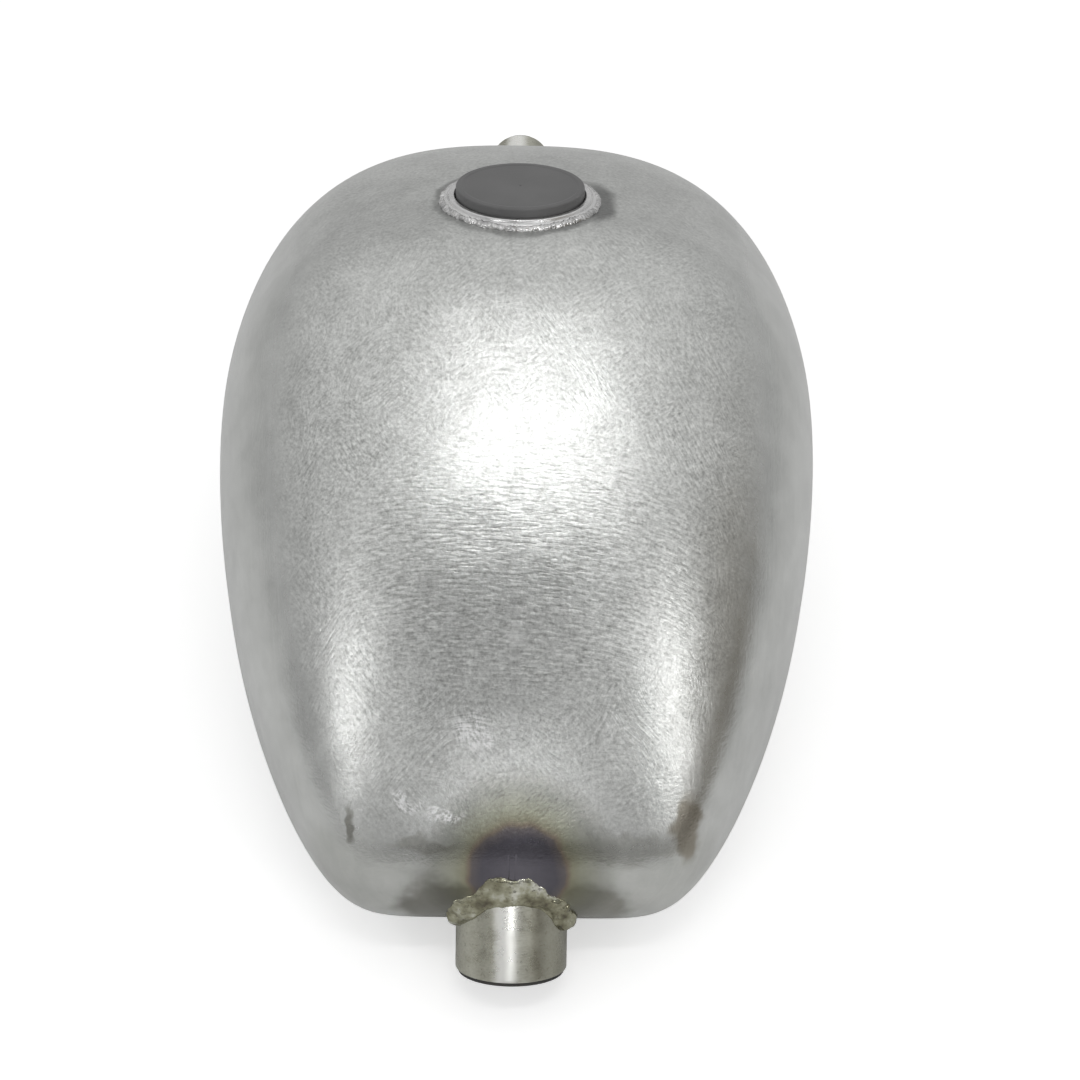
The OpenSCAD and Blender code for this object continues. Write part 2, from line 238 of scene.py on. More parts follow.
def make_mesh(name, points, faces, slot, body="tank", replaces=(), normals=None, uvs=None):
    """A smooth-shaded piece that rides on a CAD body and stands for the CAD nodes it replaces."""
    mesh = bpy.data.meshes.new(name)
    mesh.from_pydata(np.asarray(points).tolist(), [], [list(map(int, f)) for f in faces])
    mesh.validate(clean_customdata=False)
    mesh.shade_smooth()
    if uvs is not None:
        layer = mesh.uv_layers.new(name="Brush")
        corners = np.zeros(len(mesh.loops), int)
        mesh.loops.foreach_get("vertex_index", corners)
        layer.data.foreach_set("uv", np.asarray(uvs, np.float32)[corners].ravel())
    if normals is not None:
        mesh.normals_split_custom_set_from_vertices(np.asarray(normals).tolist())
    piece = bpy.data.objects.new(name, mesh)
    bpy.context.scene.collection.objects.link(piece)
    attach(piece, body)
    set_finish(piece, slot)
    if replaces:
        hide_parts(*replaces)


def make_sheet(name, node, points, normals, uvs, faces):
    """A piece of sheet steel: an outer layer of faces, an inner one, and rims between them."""
    used, faces = np.unique(faces, return_inverse=True)
    faces = faces.reshape(-1, 4)
    points, normals, uvs = points[used], normals[used], uvs[used]
    count = len(points)
    inner = points - WALL * normals
    edges = np.concatenate([faces[:, [k, (k + 1) % 4]] for k in range(4)])
    edges = edges[edges[:, 0] != edges[:, 1]]
    _, first, uses = np.unique(np.sort(edges, 1), axis=0, return_index=True, return_counts=True)
    a, b = edges[first[uses == 1]].T
    base = 2 * count + np.arange(len(a))
    rim_faces = np.stack([base + k * len(a) for k in range(4)], 1)
    all_points = np.concatenate([points, inner, points[b], points[a], inner[a], inner[b]])
    outward = unit(face_areas(all_points, rim_faces))
    make_mesh(name, all_points, np.concatenate([faces, faces[:, ::-1] + count, rim_faces]),
              "brushed_steel", replaces=[node], normals=np.concatenate([normals, -normals] + [outward] * 4),
              uvs=np.concatenate([uvs, uvs, uvs[b], uvs[a], uvs[a], uvs[b]]))


def cut_hole(points, normals, faces, distance):
    """Faces outside a hole, with the border's points drawn onto the hole's edge (distance 0)."""
    keep = distance(points)[faces].mean(1) > 0
    border = np.intersect1d(faces[keep], faces[~keep])
    step = 0.01 * MM
    for _ in range(3):
        at = points[border]
        value = distance(at)
        slope = np.stack([(distance(at + step * axis) - value) / step for axis in np.eye(3)], 1)
        slope -= np.sum(slope * normals[border], 1, keepdims=True) * normals[border]
        points[border] = at - value[:, None] * slope / np.sum(slope ** 2, 1, keepdims=True)
    return faces[keep]


def loft(name, rings, slot, closed_path=False, **settings):
    """A surface through closed rings of points; a path that is open gets a flat face at each end."""
    rings = np.asarray(rings)
    count, size = rings.shape[:2]
    points = rings.reshape(-1, 3)
    faces = []
    for i in range(count if closed_path else count - 1):
        j = (i + 1) % count
        for k in range(size):
            m = (k + 1) % size
            faces.append([i * size + k, i * size + m, j * size + m, j * size + k])
    if not closed_path:
        faces.append(list(range(size))[::-1])
        faces.append([(count - 1) * size + k for k in range(size)])
    middle = points.mean(0)
    volume = sum(np.dot(points[f[0]] - middle, np.cross(points[f[1]] - middle, points[f[2]] - middle))
                 for f in faces)
    if volume < 0:
        faces = [f[::-1] for f in faces]
    make_mesh(name, points, faces, slot, **settings)


# ---- Axes of the parts ----

class Axis:
    """A place on the middle plane or in the floor, with a direction that heights run along."""

    def __init__(self, origin, direction):
        self.origin = np.asarray(origin, float)
        self.direction = unit(np.asarray(direction, float))
        self.side = np.array([1.0, 0.0, 0.0])
        self.other = np.cross(self.direction, self.side)

    def radial(self, angle):
        return np.multiply.outer(np.cos(angle), self.side) + np.multiply.outer(np.sin(angle), self.other)

    def point(self, radius, angle, height):
        radius, angle, height = np.broadcast_arrays(radius, angle, height)
        return self.origin + radius[..., None] * self.radial(angle) + height[..., None] * self.direction


NECK = Axis([0, NECK_Y, crown_z(NECK_Y) - NECK_SINK], [0, math.sin(NECK_TILT), math.cos(NECK_TILT)])
REAR = Axis(REAR_JOINT, [0, -math.cos(REAR_PITCH), -math.sin(REAR_PITCH)])
FRONT = Axis(FRONT_JOINT, [0, 1, 0])
OUTLET = Axis(BUNG, [0, 0, -1])


def rounded(profile, radius):
    """A closed profile of (radius, height) corners, each rounded, with guard points beside each arc."""
    corners = [np.array(p, float) for p in profile]
    out = []
    for i, corner in enumerate(corners):
        before = corners[i - 1] - corner
        after = corners[(i + 1) % len(corners)] - corner
        reach = min(radius, 0.3 * np.linalg.norm(before), 0.3 * np.linalg.norm(after))
        before, after = unit(before), unit(after)
        out.append(corner + before * reach * 1.5)
        for s in np.linspace(0, 1, 6):
            out.append(corner + before * reach * (1 - s) ** 2 + after * reach * s ** 2)
        out.append(corner + after * reach * 1.5)
    return np.array(out)


def turned(name, axis, profile, slot, radius=0.5 * MM, segments=128, **settings):
    """A turned part: a closed profile of (radius, height) carried round an axis."""
    outline = rounded(profile, radius)
    angles = np.linspace(0, 2 * math.pi, segments, endpoint=False)
    rings = [axis.point(outline[:, 0], np.full(len(outline), a), outline[:, 1]) for a in angles]
    area = np.sum(outline[:, 0] * np.roll(outline[:, 1], -1) - np.roll(outline[:, 0], -1) * outline[:, 1])
    if area > 0:
        rings = [ring[::-1] for ring in rings]
    loft(name, rings, slot, closed_path=True, **settings)


def thread(name, axis, radius, depth, low, high, pitch, slot, inside=False, **settings):
    """A screw thread: a sleeve between two heights with a helix of the given depth, facing out or in."""
    angles = np.linspace(0, 2 * math.pi, 96, endpoint=False)
    heights = np.linspace(low, high, int((high - low) / pitch * 8) + 1)
    fade = np.clip(np.minimum(heights - low, high - heights) / pitch, 0, 1)
    rings = []
    for height, part in zip(heights, fade):
        ridge = 0.5 + 0.5 * np.cos(2 * math.pi * height / pitch - angles)
        rings.append(axis.point(radius + depth * part * ridge, angles, height))
    if inside:
        rings = [ring[::-1] for ring in rings]
    size = len(angles)
    faces = [[i * size + k, i * size + (k + 1) % size, (i + 1) * size + (k + 1) % size, (i + 1) * size + k]
             for i in range(len(rings) - 1) for k in range(size)]
    make_mesh(name, np.concatenate(rings), faces, slot, **settings)


# ---- Pressed halves and the seam between them ----

def neck_distance(points):
    """Distance outside the hole for the neck; far below the neck there is no hole."""
    offset = points - NECK.origin
    height = offset @ NECK.direction
    gap = np.linalg.norm(offset - height[:, None] * NECK.direction, axis=1) - NECK_HOLE_R
    return np.where(height < -40 * MM, 1.0, gap)


def arch_distance(x, h, half, corner):
    """Distance outside the tunnel's arch: x across, h up from its ridge."""
    dx = np.abs(x) - (half - corner)
    dh = h + corner
    outside = np.hypot(np.maximum(dx, 0), np.maximum(dh, 0)) + np.minimum(np.maximum(dx, dh), 0)
    return outside - corner


TUNNEL_DIR = np.array([0, math.cos(TUNNEL_CLIMB), math.sin(TUNNEL_CLIMB)])
TUNNEL_UP = np.array([0, -math.sin(TUNNEL_CLIMB), math.cos(TUNNEL_CLIMB)])
TUNNEL_START = np.array([0, -TUNNEL_RUN_OUT, 0])


def tunnel_distance(points):
    """Distance outside the tunnel's mouth; the tail has no mouth."""
    offset = points - TUNNEL_START
    gap = arch_distance(points[:, 0], offset @ TUNNEL_UP, TUNNEL_HALF_W + WALL, TUNNEL_CORNER + WALL)
    return np.where(points[:, 1] > 0, gap, 1.0)


def path_lengths(points, axis=0):
    """How far along its path each point is, from 0, in a line or in a grid along one axis."""
    steps = np.linalg.norm(np.diff(points, axis=axis), axis=-1)
    zero = np.zeros_like(np.take(steps, [0], axis))
    return np.cumsum(np.concatenate([zero, steps], axis), axis)


def skin_half():
    """The outer layer of the +X half: points, normals, brush coordinates in metres, and faces."""
    grid = skin_points(STATIONS, RING)
    rows, columns = grid.shape[:2]
    middle = int(np.argmin(np.abs(STATIONS)))
    length = path_lengths(grid)
    girth = path_lengths(grid, 1)
    uvs = np.stack([length - length[middle], girth[:, -1:] - girth], 2).reshape(-1, 2)
    points = grid.reshape(-1, 3).copy()
    faces = grid_faces(rows, columns)[:, ::-1]
    normals = point_normals(points, faces).reshape(grid.shape)
    normals[:, -1, 0] = 0
    on_seam = grid[:, FLANK_COUNT:, :1] < 1.001 * SEAM_HALF
    normals[:, FLANK_COUNT:] = np.where(on_seam, normals[:, -1:], normals[:, FLANK_COUNT:])
    return points, unit(normals).reshape(-1, 3), uvs, faces


def build_halves():
    """Both halves, with their holes. Returns the whole skin without holes, for finding points on it."""
    points, normals, uvs, faces = skin_half()
    closed = points.copy()
    closed[points[:, 0] < 1.001 * SEAM_HALF, 0] = 0
    tree_points = np.concatenate([closed, closed * [-1, 1, 1]])
    tree_faces = np.concatenate([faces, faces + len(points)])
    faces = cut_hole(points, normals, faces, neck_distance)
    faces = cut_hole(points, normals, faces, tunnel_distance)
    for side, name in ((1, "right"), (-1, "left")):
        mirror = np.array([side, 1, 1])
        make_sheet("tank_half_" + name, "shell_" + name, points * mirror, normals * mirror,
                   uvs * [1, side], faces[:, ::side])
    return tree_points, tree_faces


def build_seam():
    """The ground-flush weld between the halves, a strip along the middle plane."""
    nose = skin_points([1], RING[:FLANK_COUNT])[0][::-1]
    tail = skin_points([-1], RING[:FLANK_COUNT])[0]
    crown = skin_points(STATIONS, [math.pi / 2])[:, 0]
    line = np.concatenate([tail[:-1], crown, nose[1:]])
    run = np.gradient(line, axis=0)
    normals = unit(np.stack([np.zeros(len(line)), -run[:, 2], run[:, 1]], 1))
    keep = (neck_distance(line) > 0) & (tunnel_distance(line) > 0)
    length = path_lengths(line)
    length -= length[int(np.argmin(np.abs(line[:, 1]) + (line[:, 2] < WAIST_Z)))]
    count = len(line)
    points = np.concatenate([line, line * [-1, 1, 1]])
    uvs = np.concatenate([np.stack([length, np.zeros(count)], 1)] * 2)
    first = np.flatnonzero(keep[:-1] & keep[1:])
    faces = np.stack([first, first + 1, first + 1 + count, first + count], 1)
    make_sheet("crown_seam", "centre_seam", points, np.concatenate([normals] * 2), uvs, faces)


# ---- Weld beads ----

def resample(path, step, closed):
    """Points along a path at an even step, and how far along it they are."""
    if closed:
        path = np.concatenate([path, path[:1]])
    length = path_lengths(path)
    count = max(8, int(length[-1] / step))
    at = np.linspace(0, length[-1], count, endpoint=not closed)
    return np.stack([np.interp(at, length, path[:, k]) for k in range(3)], 1), at


def lumpy(points, centres, size, amount):
    """Points pushed away from or towards their centres by smooth noise."""
    push = np.array([noise.noise(Vector(p / size)) for p in points])
    return centres + (points - centres) * (1 + amount * push)[:, None]


def bead(name, node, path, ups, width, height, pitch, closed=False):
    """A weld bead: scalloped like a row of laid coins, along a path that lies on a surface.

    ups are the surface's normals, width and height the half sizes of its section.
    """
    wander, lumps = 0.12, 0.25
    rng = np.random.default_rng(SEED + len(name))
    fine, at = resample(np.asarray(path), pitch / 8, closed)
    up, _ = resample(np.asarray(path) + np.asarray(ups) * 0.01, pitch / 8, closed)
    share = np.linspace(0, 1, len(fine), endpoint=not closed)
    up_share = np.linspace(0, 1, len(up), endpoint=not closed)
    up = np.stack([np.interp(share, up_share, up[:, k]) for k in range(3)], 1)
    run = np.roll(fine, -1, 0) - np.roll(fine, 1, 0) if closed else np.gradient(fine, axis=0)
    tangent = unit(run)
    side = unit(np.cross(tangent, up - fine))
    up = np.cross(side, tangent)
    ripples = int(round(at[-1] / pitch))
    each = rng.normal(0, wander, ripples + 3)
    shift = rng.normal(0, wander, ripples + 3)
    around = np.linspace(0, 2 * math.pi, 20, endpoint=False)
    phase = share[:, None] * ripples + 0.45 * np.cos(around)[None, :] ** 2
    index = np.clip(np.floor(phase).astype(int), 0, ripples + 1)
    within = phase - np.floor(phase)
    ridge = 0.9 + 0.22 * np.sin(math.pi * within) ** 0.6
    drift = (1 - within) * each[index] + within * each[index + 1]
    size = ridge * (1 + drift * 0.8)
    sway = np.interp(share * ripples, np.arange(ripples + 3), shift) * width * 0.6
    across = np.cos(around)[None, :] * width * size + sway[:, None]
    above = np.sin(around)[None, :] * height * size
    rings = fine[:, None] + across[..., None] * side[:, None] + above[..., None] * up[:, None]
    points = rings.reshape(-1, 3)
    centres = np.repeat(fine, len(around), 0)
    points = lumpy(points, centres, width, lumps)
    points = lumpy(points, centres, width * 0.35, lumps * 0.5)
    loft(name, points.reshape(rings.shape), "weld_metal", closed_path=closed, replaces=[node])


class Surface:
    """The outside of the tank, for finding where a line lands on it."""

    REACH = 80 * MM

    def __init__(self, points, faces):
        foot = skin_points(STATIONS, [-FLANK_END])[:, 0]
        outline = np.concatenate([foot, foot[::-1] * [-1, 1, 1]])
        floor = list(range(len(points), len(points) + len(outline)))
        polygons = [list(map(int, f)) for f in faces] + [floor]
        self.tree = BVHTree.FromPolygons(np.concatenate([points, outline]).tolist(), polygons)

    def land(self, start, direction):
        """Point and outward normal where a line from start first meets the tank."""
        place, normal, _, _ = self.tree.ray_cast(Vector(start), Vector(direction))
        if place is None:
            return None, None
        normal = np.array(normal)
        if normal @ np.asarray(direction) > 0:
            normal = -normal
        return np.array(place), normal

    def around(self, axis, radius):
        """Where a cylinder round an axis meets the tank: points, and directions out of the corner."""
        places, ups = [], []
        for angle in np.linspace(0, 2 * math.pi, 180, endpoint=False):
            start = axis.point(radius, angle, Surface.REACH)
            place, normal = self.land(start, -axis.direction)
            if place is not None:
                places.append(place)
                ups.append(unit(normal + axis.radial(angle)))
        return np.array(places), np.array(ups)


def rear_collar(surface):
    """The hand-laid fillet round the rear tube: a lumpy, bulging band from the wall to the tube's side.

    It is widest above the tube, and swells into a lump on each side.
    """
    radius, wall_reach, tube_reach = REAR_R - 0.1 * MM, 6.0 * MM, 4.6 * MM
    knee_share, lumps = 0.92, 0.30
    shares = np.linspace(0, 1, 420, endpoint=False)
    sizes = 0.42 + 0.52 * np.exp(-((shares - 0.25) / 0.17) ** 2)
    for middle, width, growth in ((0.09, 0.045, 0.44), (0.41, 0.05, 0.50)):
        sizes += growth * np.exp(-((shares - middle) / width) ** 2)
    rings, roots = [], []
    for angle, size in zip(2 * math.pi * shares, sizes):
        radial = REAR.radial(angle)
        root, normal = surface.land(REAR.point(radius, angle, Surface.REACH), -REAR.direction)
        start = REAR.point(radius + wall_reach * size, angle, Surface.REACH)
        toe, _ = surface.land(start, -REAR.direction)
        top = root + REAR.direction * tube_reach * size
        knee = root + knee_share * ((toe - root) + (top - root))
        band = [toe * (1 - u) ** 2 + knee * 2 * u * (1 - u) + top * u ** 2 for u in np.linspace(0, 1, 22)]
        buried = [top - radial * MM, root - (REAR.direction + radial) * MM, toe - normal * MM]
        rings.append(band + buried)
        roots.append(root)
    rings = np.array(rings)
    points = rings.reshape(-1, 3)
    centres = np.repeat(np.array(roots), rings.shape[1], 0)
    for scale, amount in ((8 * MM, lumps), (3.4 * MM, lumps * 0.5), (1.3 * MM, lumps * 0.16)):
        points = lumpy(points, centres, scale, amount)
    loft("rear_tube_bead", points.reshape(rings.shape), "weld_metal", closed_path=True,
         replaces=["rear_tube_weld"])


def build_beads(surface):
    places, ups = surface.around(NECK, NECK_R + 0.5 * MM)
    bead("neck_bead", "filler_neck_weld", places, ups, 1.5 * MM, 1.3 * MM, 1.5 * MM, closed=True)
    rear_collar(surface)
    places, ups = surface.around(FRONT, FRONT_R + 0.5 * MM)
    bead("front_tube_bead", "front_tube_weld", places, ups, 2.6 * MM, 2.2 * MM, 2.2 * MM, closed=True)

    foot = skin_points(STATIONS, [-FLANK_END])[:, 0]
    foot = foot[(STATIONS < 0) | (foot[:, 0] > TUNNEL_HALF_W + WALL)] + [0, 0, 0.6 * MM]
    for side, name in ((1, "right"), (-1, "left")):
        path = foot * [side, 1, 1]
        outward = unit(path * [1, 1, 0]) + [0, 0, -0.6]
        bead("base_bead_" + name, "base_seam_" + name, path, unit(outward), 1.8 * MM, 1.5 * MM, 2.2 * MM)

    angles = np.linspace(-math.pi / 2, 1.5 * math.pi, 96, endpoint=False)
    ring = BUNG + np.stack([np.cos(angles), np.sin(angles), 0 * angles], 1) * (BUNG_R + 0.5 * MM)
    down = [[0, 0, -1]] * len(ring)
    bead("outlet_bead", "outlet_weld", ring, down, 1.6 * MM, 1.3 * MM, 1.8 * MM, closed=True)


# ---- Tunnel ----

def arch_outline(grow, depth):
    """The arch's outline as (x, h) points, from its left foot over the top to its right foot."""
    half, corner = TUNNEL_HALF_W + grow, TUNNEL_CORNER + grow
    left = [(-half, h) for h in np.linspace(-depth, -TUNNEL_CORNER, 40, endpoint=False)]
    bend = [(-half + corner - corner * math.cos(a), grow - corner + corner * math.sin(a))
            for a in np.linspace(0, math.pi / 2, 14)]
    flat = [(x, grow) for x in np.linspace(corner - half, 0, 8)[1:]]
    half_line = left + bend + flat
    return np.array(half_line + [(-x, h) for x, h in half_line[::-1][1:]])


def build_tunnel(surface):
    """The sheet tunnel from where its ridge leaves the floor to its mouth in the nose, with its welds."""
    outline = arch_outline(WALL, 50 * MM)
    low, high = [], []
    for x, h in outline:
        start = TUNNEL_START + np.array([x, 0, 0]) + h * TUNNEL_UP
        rise = max(0.0, -h / math.tan(TUNNEL_CLIMB))
        end, _ = surface.land(start + 0.5 * TUNNEL_DIR, -TUNNEL_DIR)
        if end is None or end[2] < 0.5 * MM or (end - start) @ TUNNEL_DIR < rise + 4 * MM:
            continue
        low.append(start + rise * TUNNEL_DIR)
        high.append(end)
    low, high = np.array(low), np.array(high)
    shares = np.linspace(0, 1, 40)
    grid = low[None] + (high - low)[None] * shares[:, None, None]
    points = grid.reshape(-1, 3)
    faces = grid_faces(*grid.shape[:2])
    normals = point_normals(points, faces)
    uvs = np.stack([path_lengths(grid), path_lengths(grid, 1)], 2).reshape(-1, 2)
    make_sheet("tunnel_sheet", "tunnel", points, normals, uvs, faces)
    outward = unit(high * [1, 0, 1] - [0, 0, 20 * MM]) * [1, 0, 1] + [0, 1.2, 0]
    bead("tunnel_mouth_bead", "tunnel_mouth_weld", high, unit(outward), 2.0 * MM, 1.5 * MM, 2.2 * MM)
    down = [[0, 0, -1]] * len(low)
    bead("tunnel_foot_bead", "tunnel_seam", low + [0, 0, 0.2 * MM], down, 1.7 * MM, 1.3 * MM, 2.2 * MM)


# ---- Filler ----

def build_filler():
    lip = CAP_R + CAP_CLEAR
    bore = THROAT_R + 1.1 * MM
    foot, rim = -16 * MM, 3.0 * MM
    turned("neck_ring", NECK, [
        (bore, foot), (NECK_HOLE_R, foot), (NECK_HOLE_R, -1.5 * MM),
        (NECK_R, -1.5 * MM), (NECK_R, 1.6 * MM), (NECK_R - 1.0 * MM, 2.2 * MM),
        (NECK_R - 1.7 * MM, 1.6 * MM), (NECK_R - 2.2 * MM, rim), (lip, rim),
        (lip, -1 * MM), (bore, -1 * MM)],
        "turned_steel", radius=0.45 * MM, segments=192, replaces=["filler_neck"])
    thread("neck_thread", NECK, bore, -0.95 * MM, foot + 0.5 * MM, -1.2 * MM, CAP_PITCH,
           "turned_steel", inside=True)

    head = CAP_SEAT + CAP_HEAD_H
    turned("cap_head", NECK, [
        (0.2 * MM, CAP_SEAT), (CAP_R, CAP_SEAT), (CAP_R, head - 0.1 * MM),
        (CAP_R - 2.2 * MM, head), (CAP_R - 3.0 * MM, head - 0.22 * MM), (0.2 * MM, head - 0.1 * MM)],
        "black_cap", radius=0.7 * MM, segments=192, body="cap", replaces=["filler_cap"])
    stem_r, hollow_r, tip = 20.9 * MM, 13 * MM, -8 * MM
    turned("cap_stem", NECK, [
        (hollow_r, tip), (stem_r, tip), (stem_r, CAP_SEAT), (hollow_r, CAP_SEAT)],
        "black_cap", radius=0.6 * MM, body="cap")
    thread("cap_thread", NECK, stem_r - 0.05 * MM, 1.0 * MM, tip + 0.4 * MM, CAP_SEAT - 0.6 * MM, CAP_PITCH,
           "black_cap", body="cap")
    inner, outer, low, high = 22.5 * MM, CAP_R - 1 * MM, -0.9 * MM, 0.95 * MM
    turned("cap_washer", NECK, [(inner, low), (outer, low), (outer, high), (inner, high)],
        "rubber", radius=0.5 * MM, body="seal", replaces=["cap_seal"])


# ---- Mount tubes ----

def build_tube(surface, axis, name, radius, length):
    """A mount tube from just inside the tank's surface to its open, rounded end."""
    angles = np.linspace(0, 2 * math.pi, 160, endpoint=False)
    roots = []
    for angle in angles:
        place, _ = surface.land(axis.point(radius, angle, Surface.REACH), -axis.direction)
        roots.append(min((place - axis.origin) @ axis.direction - 1.5 * MM, length - 4 * MM)
                     if place is not None else -4 * MM)
    roots = np.array(roots)
    edge = 0.55 * MM
    bore = radius - TUBE_WALL
    straight = length - 1.3 * MM
    rings = [axis.point(radius, angles, roots + (straight - roots) * s) for s in np.linspace(0, 1, 10)]
    quarter = np.linspace(0, math.pi / 2, 6)
    for rim, inward, turns in ((radius, -edge, quarter), (bore, edge, quarter[::-1])):
        for turn in turns:
            height = length - edge * (1 - math.sin(turn))
            rings.append(axis.point(rim + inward * (1 - math.cos(turn)), angles, height))
    rings += [axis.point(bore, angles, straight + (roots - straight) * s) for s in np.linspace(0, 1, 8)]
    loft(name + "_tube", rings, "tube_steel", closed_path=True, replaces=[name + "_mount_tube"])


def build_mounts(surface):
    build_tube(surface, REAR, "rear", REAR_R, REAR_LEN)
    bore = REAR_R - TUBE_WALL
    fit = bore - 0.05 * MM
    top = REAR_LEN + FLANGE_H
    turned("rear_rubber", REAR, [
        (INSERT_R, REAR_LEN - BUSH_LEN), (fit, REAR_LEN - BUSH_LEN), (fit, REAR_LEN),
        (bore + 1 * MM, REAR_LEN), (bore + 1 * MM, top), (INSERT_R + 3 * MM, top),
        (INSERT_R + 2 * MM, top - 0.8 * MM), (INSERT_R, top - 0.8 * MM)],
        "rubber", radius=0.6 * MM, replaces=["rear_bush"])
    bolt_bore = BOLT_R + 0.7 * MM
    turned("rear_threaded_insert", REAR, [
        (bolt_bore, top - INSERT_DEPTH), (INSERT_R, top - INSERT_DEPTH), (INSERT_R, top), (bolt_bore, top)],
        "turned_steel", radius=0.5 * MM, replaces=["rear_insert"])
    thread("rear_insert_thread", REAR, bolt_bore, -0.65 * MM, top - INSERT_DEPTH + 0.4 * MM,
           top - 0.4 * MM, 1.25 * MM, "turned_steel", inside=True)

    build_tube(surface, FRONT, "front", FRONT_R, FRONT_LEN)
    bore = FRONT_R - TUBE_WALL
    fit = bore - 0.05 * MM
    top = FRONT_LEN + FLANGE_H
    turned("front_rubber", FRONT, [
        (PEG_R, FRONT_LEN - BUSH_LEN), (fit, FRONT_LEN - BUSH_LEN), (fit, FRONT_LEN),
        (bore + 1 * MM, FRONT_LEN), (bore + 1 * MM, top), (PEG_R, top)],
        "rubber", radius=0.6 * MM, replaces=["front_bush"])


def build_outlet():
    bore = OUTLET_R + 0.8 * MM
    turned("outlet_boss", OUTLET, [
        (bore, -BUNG_TOP), (BUNG_R, -BUNG_TOP), (BUNG_R, BUNG_DROP), (bore, BUNG_DROP)],
        "turned_steel", radius=0.6 * MM, replaces=["outlet_bung"])
    thread("outlet_thread", OUTLET, bore, -0.75 * MM, 0.4 * MM - BUNG_TOP, BUNG_DROP - 0.4 * MM,
           1.41 * MM, "turned_steel", inside=True)


# ---- Materials ----

class Graph:
    """A node graph. Most methods add a node or a few and return the last one's output socket."""

    def __init__(self, tree):
        self.tree = tree

    def fill(self, node, inputs):
        """Links or sets a node's inputs."""
        for key, value in inputs.items():
            if isinstance(value, bpy.types.NodeSocket):
                self.tree.links.new(value, node.inputs[key])
            else:
                node.inputs[key].default_value = value

    def coat(self, color, rough, more):
        self.fill(self.tree.nodes["Principled BSDF"], {"Base Color": color, "Roughness": rough, **more})

    def node(self, kind, inputs=None, **settings):
        made = self.tree.nodes.new("ShaderNode" + kind)
        for key, value in settings.items():
            setattr(made, key, value)
        self.fill(made, inputs or {})
        return made

    def math(self, operation, a, b=0.0, c=0.0):
        return self.node("Math", {0: a, 1: b, 2: c}, operation=operation).outputs[0]

    def times(self, a, b):
        return self.math("MULTIPLY", a, b)

    def plus(self, a, b):
        return self.math("ADD", a, b)

    def vector(self, operation, a, b, output="Vector"):
        return self.node("VectorMath", {0: a, 1: b}, operation=operation).outputs[output]

    def spread(self, value, low, high, to_low=0.0, to_high=1.0):
        made = self.node("MapRange", {"Value": value, "From Min": low, "From Max": high, "To Min": to_low,
                                      "To Max": to_high}, interpolation_type="SMOOTHSTEP")
        return made.outputs[0]

    def noise(self, place, scale, detail=2.0, roughness=0.55, output="Fac"):
        inputs = {"Vector": place, "Scale": scale, "Detail": detail, "Roughness": roughness}
        return self.node("TexNoise", inputs).outputs[output]

    def mapped(self, place, scale=(1, 1, 1), turn=0.0, move=(0, 0, 0)):
        made = self.node("Mapping", {"Vector": place, "Location": move, "Rotation": (0, 0, turn),
                                     "Scale": scale})
        return made.outputs[0]

    def blend(self, share, a, b, mode="MIX"):
        made = self.node("Mix", {0: share, 6: a, 7: b}, data_type="RGBA", blend_type=mode)
        return made.outputs[2]

    def ramp(self, value, stops):
        made = self.node("ValToRGB", {"Fac": value})
        ramp = made.color_ramp
        ramp.elements[0].position, ramp.elements[0].color = stops[0]
        ramp.elements[1].position, ramp.elements[1].color = stops[-1]
        for position, color in stops[1:-1]:
            ramp.elements.new(position).color = color
        return made.outputs[0]

    def place(self):
        """The shaded point in the frame's axes."""
        return self.node("TexCoord").outputs["Object"]

    def part(self, vector, name):
        return self.node("SeparateXYZ", {"Vector": vector}).outputs[name]

    def length(self, vector):
        return self.vector("LENGTH", vector, (0, 0, 0), "Value")

    def around_zero(self, value):
        return self.math("SUBTRACT", value, 0.5)

    def mix(self, share, a, b):
        return self.node("Mix", {0: share, 2: a, 3: b}).outputs[0]

    def tinted(self, share, color, tint):
        """The color times the tint, by a share."""
        return self.blend(share, color, self.blend(1.0, color, tint, "MULTIPLY"))

    def shaken(self, place, wobble, amount):
        """The place moved about by a colour noise."""
        centred = self.vector("SUBTRACT", wobble, (0.5, 0.5, 0.5))
        return self.vector("ADD", place, self.vector("MULTIPLY", centred, (amount,) * 3))

    def near(self, place, centre, size, soft):
        """1 within an ellipsoid round centre, 0 beyond soft times its size."""
        offset = self.vector("SUBTRACT", place, centre)
        return self.spread(self.length(self.vector("DIVIDE", offset, size)), soft, 1.0)

    def bump(self, height, distance, normal=None):
        inputs = {"Height": height, "Distance": distance, "Strength": 1.0}
        if normal is not None:
            inputs["Normal"] = normal
        return self.node("Bump", inputs).outputs[0]


def grey(level, warm=0.0):
    return (level * (1 + warm), level, level * (1 - 1.5 * warm), 1)


def new_material(name):
    material = bpy.data.materials.new(name)
    material.use_nodes = True
    return material, Graph(material.node_tree)


def strokes(g, uv, turn, across, lengthwise):
    """Fine straight strokes at one angle, by how many there are to a metre across and lengthwise."""
    stretched = g.mapped(g.mapped(uv, turn=turn), scale=(lengthwise, across, 1))
    return g.noise(stretched, 1.0, detail=2.5, roughness=0.6)


